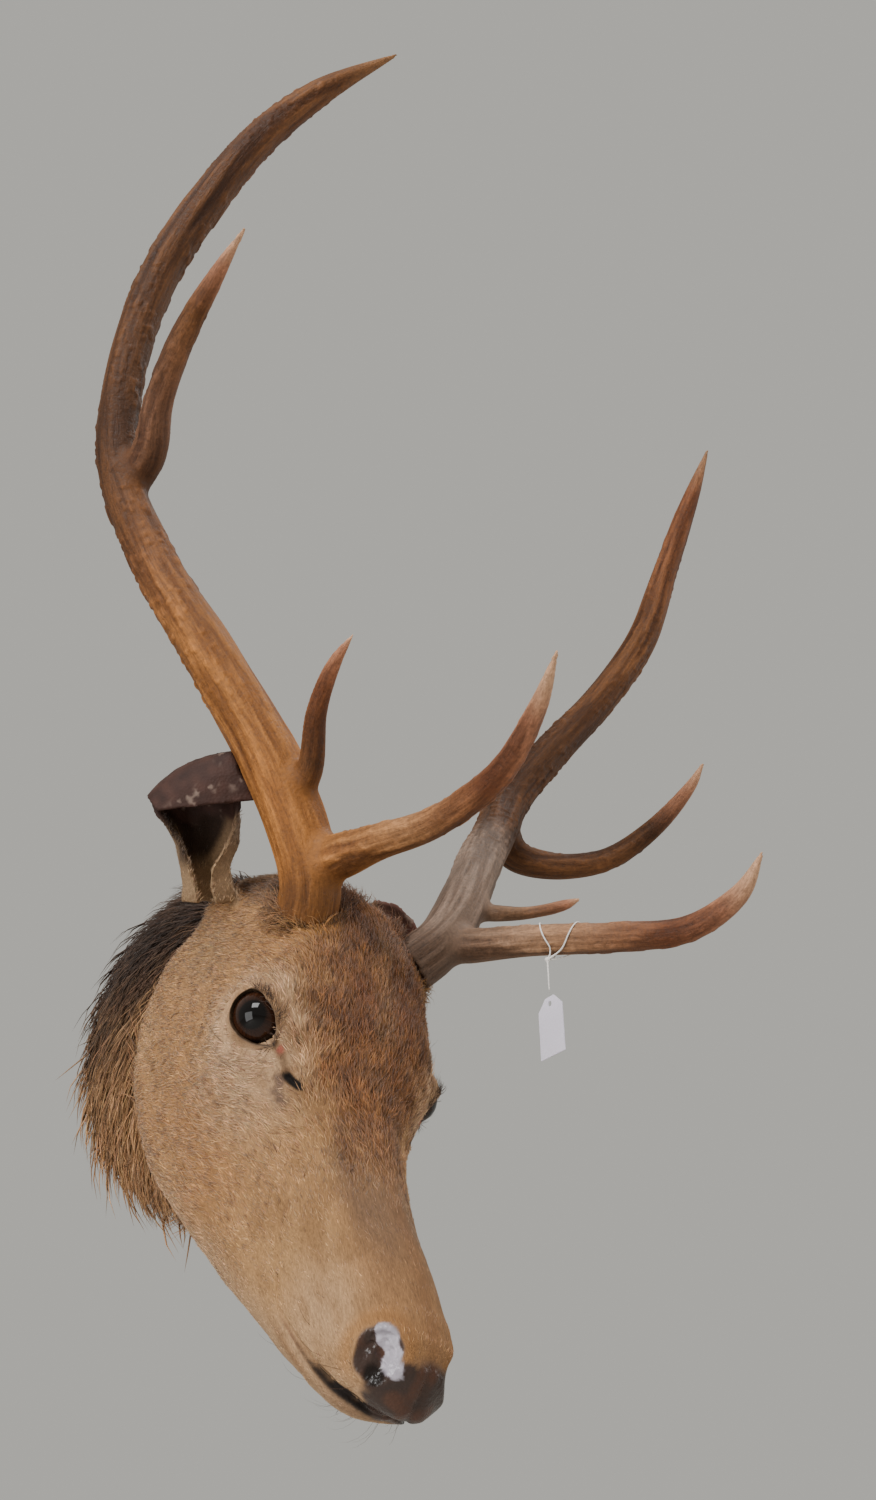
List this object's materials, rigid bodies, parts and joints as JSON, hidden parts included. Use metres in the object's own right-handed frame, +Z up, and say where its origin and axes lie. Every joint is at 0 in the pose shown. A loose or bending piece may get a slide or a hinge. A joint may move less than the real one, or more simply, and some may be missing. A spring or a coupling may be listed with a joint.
{
  "type": "red deer stag head mount",
  "caption": "Taxidermy head of a red deer stag on a short neck with tall branched antlers and a small blank tag, to hang on a wall.",
  "frame": {"origin": "middle of the neck board's back face, where the mount meets the wall", "axes": "+Y into the wall, so the stag looks out along -Y; +X to the stag's left; +Z up"},
  "size_m": [0.6008, 0.5065, 1.0243],
  "materials": {
    "coat": "short golden tan deer hair lying flat, rufous and longer on the forehead",
    "mane": "long coarse dark brown mane hair",
    "ear": "dried thin ear skin, dark reddish brown inside, with sparse pale hair at the base",
    "eye": "dark brown taxidermy glass with a clear polish",
    "nose": "glossy painted nose skin, dark brown, flaking pale in the right nostril",
    "antler": "antler bone, golden brown and grooved at the base, darker and pearled above, ivory at the tips",
    "board": "plain planed softwood",
    "card": "blank pale card",
    "string": "thin white cotton string"
  },
  "bodies": {
    "root": {"head": "coat", "muzzle": "coat", "lower_jaw": "coat", "neck": "mane", "ear_right": "ear", "ear_left": "ear", "eye_right": "eye", "eye_left": "eye", "nose_pad": "nose", "antler_right_beam": "antler", "antler_right_top": "antler", "antler_right_brow_tine": "antler", "antler_right_bez_tine": "antler", "antler_right_tray_tine": "antler", "antler_left_beam": "antler", "antler_left_top": "antler", "antler_left_brow_tine": "antler", "antler_left_bez_tine": "antler", "antler_left_tray_tine": "antler", "neck_board": "board", "tag_string": "string", "tag_card": "card"}
  },
  "joints": []
}
